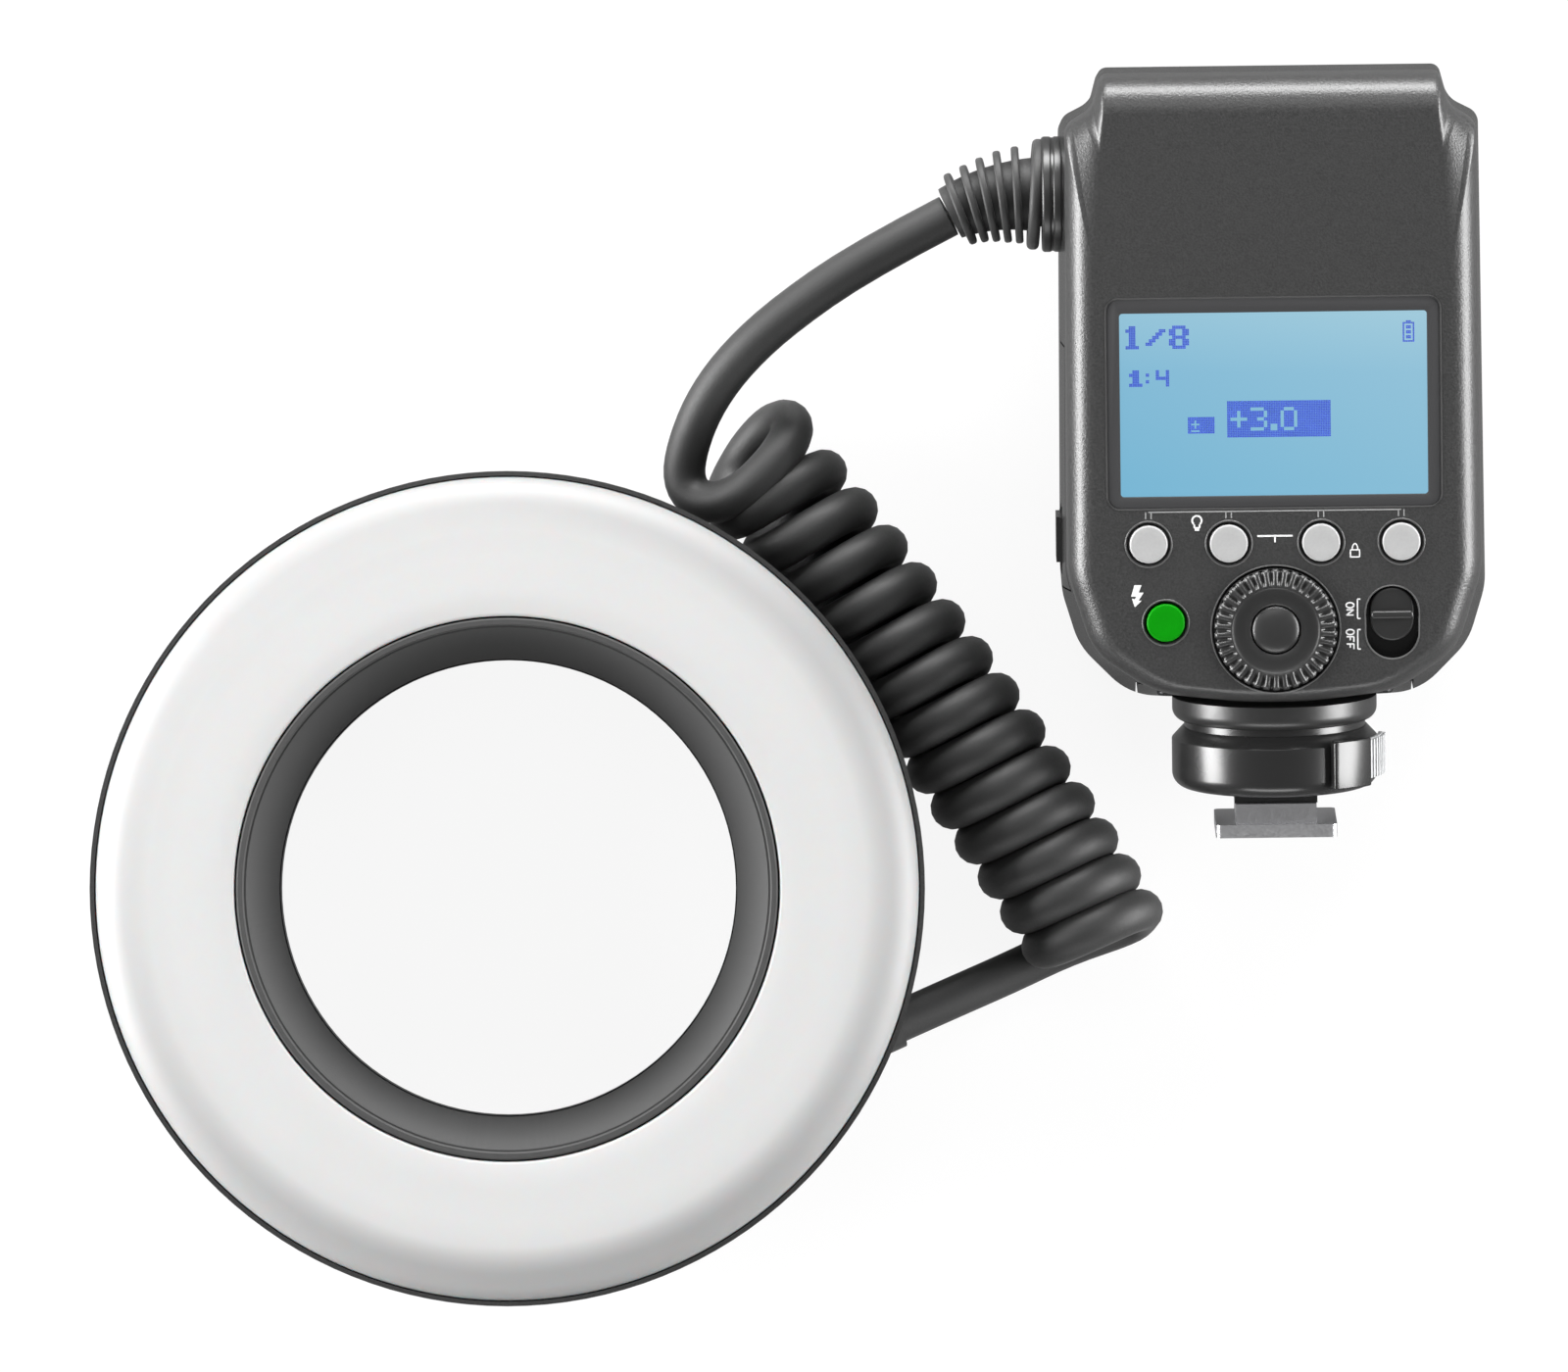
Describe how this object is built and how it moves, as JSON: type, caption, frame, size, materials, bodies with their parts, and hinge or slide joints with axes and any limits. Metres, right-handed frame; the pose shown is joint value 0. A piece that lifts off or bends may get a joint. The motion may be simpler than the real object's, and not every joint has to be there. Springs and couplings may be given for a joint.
{
  "type": "macro ring flash",
  "caption": "Macro ring flash laid flat: a ring head with a white diffuser, joined by a curly cord to a shoe-mounted controller with a lit screen, keys and a dial.",
  "frame": {"origin": "on the ring head's optical axis, at the rear end of the adapter ring's thread, which stands on the table", "axes": "+Z out of the flash towards the subject, +X from the ring head towards the controller, +Y towards the controller's hood"},
  "size_m": [0.2139, 0.1905, 0.0505],
  "materials": {
    "panel_plastic": "fine satin texture",
    "dark_gloss": "smooth",
    "black_rubber": "matt with a soft sheen",
    "window_glass": "clear, polished",
    "screen": "lit",
    "grey_key": "satin",
    "green_key": "satin",
    "diffuser_white": "translucent satin",
    "baffle_grey": "fine concentric grooves",
    "reflector_silver": "bright",
    "tube_glass": "clear",
    "board_green": "solder mask",
    "inner_plastic": "moulded",
    "steel": "zinc plated",
    "foot_metal": "bead blasted",
    "contact_metal": "plated",
    "adapter_metal": "black anodised",
    "grip_grey": "ribbed",
    "capacitor_sleeve": "sleeve"
  },
  "bodies": {
    "flash": {"adapter_ring": "adapter_metal", "base_cover": "dark_gloss", "base_screws": "steel", "battery_contacts": "contact_metal", "body_flange": "panel_plastic", "cable_clamp": "inner_plastic", "control_board": "board_green", "cord_coil": "black_rubber", "cord_lead": "black_rubber", "cord_tail": "black_rubber", "dial_encoder": "inner_plastic", "display_window": "window_glass", "flash_capacitor": "capacitor_sleeve", "flash_tube_a": "tube_glass", "flash_tube_b": "tube_glass", "foot_block": "dark_gloss", "foot_collar": "dark_gloss", "foot_contacts": "contact_metal", "foot_insert": "inner_plastic", "foot_neck": "dark_gloss", "foot_plate": "foot_metal", "front_cover": "dark_gloss", "housing_screws": "steel", "latch_pins": "steel", "lcd_panel": "screen", "main_board": "board_green", "model_leds": "diffuser_white", "panel_switches": "inner_plastic", "port_sockets": "steel", "rear_cover": "panel_plastic", "ring_baffle": "baffle_grey", "ring_board": "board_green", "ring_diffuser": "diffuser_white", "ring_gland": "black_rubber", "ring_rear_shell": "panel_plastic", "ring_reflector": "reflector_silver", "ring_screws": "steel", "strain_relief": "black_rubber", "switch_bed": "inner_plastic", "transformer": "inner_plastic", "tube_end_caps": "steel"},
    "key_1": {"key_1": "grey_key"},
    "key_2": {"key_2": "grey_key"},
    "key_3": {"key_3": "grey_key"},
    "key_4": {"key_4": "grey_key"},
    "test_button": {"test_button": "green_key"},
    "select_dial": {"select_dial": "panel_plastic"},
    "set_button": {"set_button": "panel_plastic"},
    "power_switch": {"power_switch": "panel_plastic"},
    "lock_lever": {"lock_lever": "dark_gloss", "lever_pad": "grip_grey"},
    "lock_pin": {"lock_pin": "steel"},
    "battery": {"battery_pack": "dark_gloss"},
    "battery_latch": {"battery_latch": "panel_plastic"},
    "port_cover": {"port_cover": "black_rubber"},
    "adapter_latch_left": {"adapter_latch_left": "inner_plastic"},
    "adapter_latch_right": {"adapter_latch_right": "inner_plastic"}
  },
  "joints": [
    {"name": "key_1_press", "type": "slide", "parent": "flash", "child": "key_1", "axis": [-0.0017, 0.1392, -0.9903], "range_m": [0, 0.0006], "stiffness_N_per_m": 250},
    {"name": "key_2_press", "type": "slide", "parent": "flash", "child": "key_2", "axis": [-0.0017, 0.1392, -0.9903], "range_m": [0, 0.0006], "stiffness_N_per_m": 250},
    {"name": "key_3_press", "type": "slide", "parent": "flash", "child": "key_3", "axis": [-0.0017, 0.1392, -0.9903], "range_m": [0, 0.0006], "stiffness_N_per_m": 250},
    {"name": "key_4_press", "type": "slide", "parent": "flash", "child": "key_4", "axis": [-0.0017, 0.1392, -0.9903], "range_m": [0, 0.0006], "stiffness_N_per_m": 250},
    {"name": "test_press", "type": "slide", "parent": "flash", "child": "test_button", "axis": [-0.0017, 0.1392, -0.9903], "range_m": [0, 0.0006], "stiffness_N_per_m": 250},
    {"name": "set_press", "type": "slide", "parent": "flash", "child": "set_button", "axis": [-0.0017, 0.1392, -0.9903], "range_m": [0, 0.0005], "stiffness_N_per_m": 250},
    {"name": "dial_spin", "type": "hinge", "parent": "flash", "child": "select_dial", "pos_m": [0.11753, 0.03972, 0.03949], "axis": [0.0017, -0.1392, 0.9903], "continuous": true},
    {"name": "power_slide", "type": "slide", "parent": "flash", "child": "power_switch", "axis": [0.0121, -0.9902, -0.1392], "range_m": [0, 0.0022]},
    {"name": "lever_swing", "type": "hinge", "parent": "flash", "child": "lock_lever", "pos_m": [0.11777, 0.01994, 0.01853], "axis": [-0.0121, 0.9902, 0.1392], "range_deg": [0, 30]},
    {"name": "lock_pin_slide", "type": "slide", "parent": "flash", "child": "lock_pin", "axis": [0.0121, -0.9902, -0.1392], "range_m": [0, 0.0016]},
    {"name": "battery_slide", "type": "slide", "parent": "flash", "child": "battery", "axis": [-0.9999, -0.0122, 0], "range_m": [0, 0.016]},
    {"name": "battery_latch_slide", "type": "slide", "parent": "battery", "child": "battery_latch", "axis": [0.0121, -0.9902, -0.1392], "range_m": [0, 0.0015], "stiffness_N_per_m": 250},
    {"name": "port_cover_hinge", "type": "hinge", "parent": "flash", "child": "port_cover", "pos_m": [0.14934, 0.0999, 0.02719], "axis": [0.0121, -0.9902, -0.1392], "range_deg": [0, 100]},
    {"name": "adapter_latch_left_swing", "type": "hinge", "parent": "flash", "child": "adapter_latch_left", "pos_m": [-0.048, 0, 0.009], "axis": [0, 0, -1], "range_deg": [0, 7], "stiffness_Nm_per_rad": 0.05},
    {"name": "adapter_latch_right_swing", "type": "hinge", "parent": "flash", "child": "adapter_latch_right", "pos_m": [0.048, 0, 0.009], "axis": [0, 0, -1], "range_deg": [0, 7], "stiffness_Nm_per_rad": 0.05}
  ],
  "couplings": [
    {"joint": "lock_pin_slide", "follows": "lever_swing", "m_per_rad": 0.0028648}
  ]
}
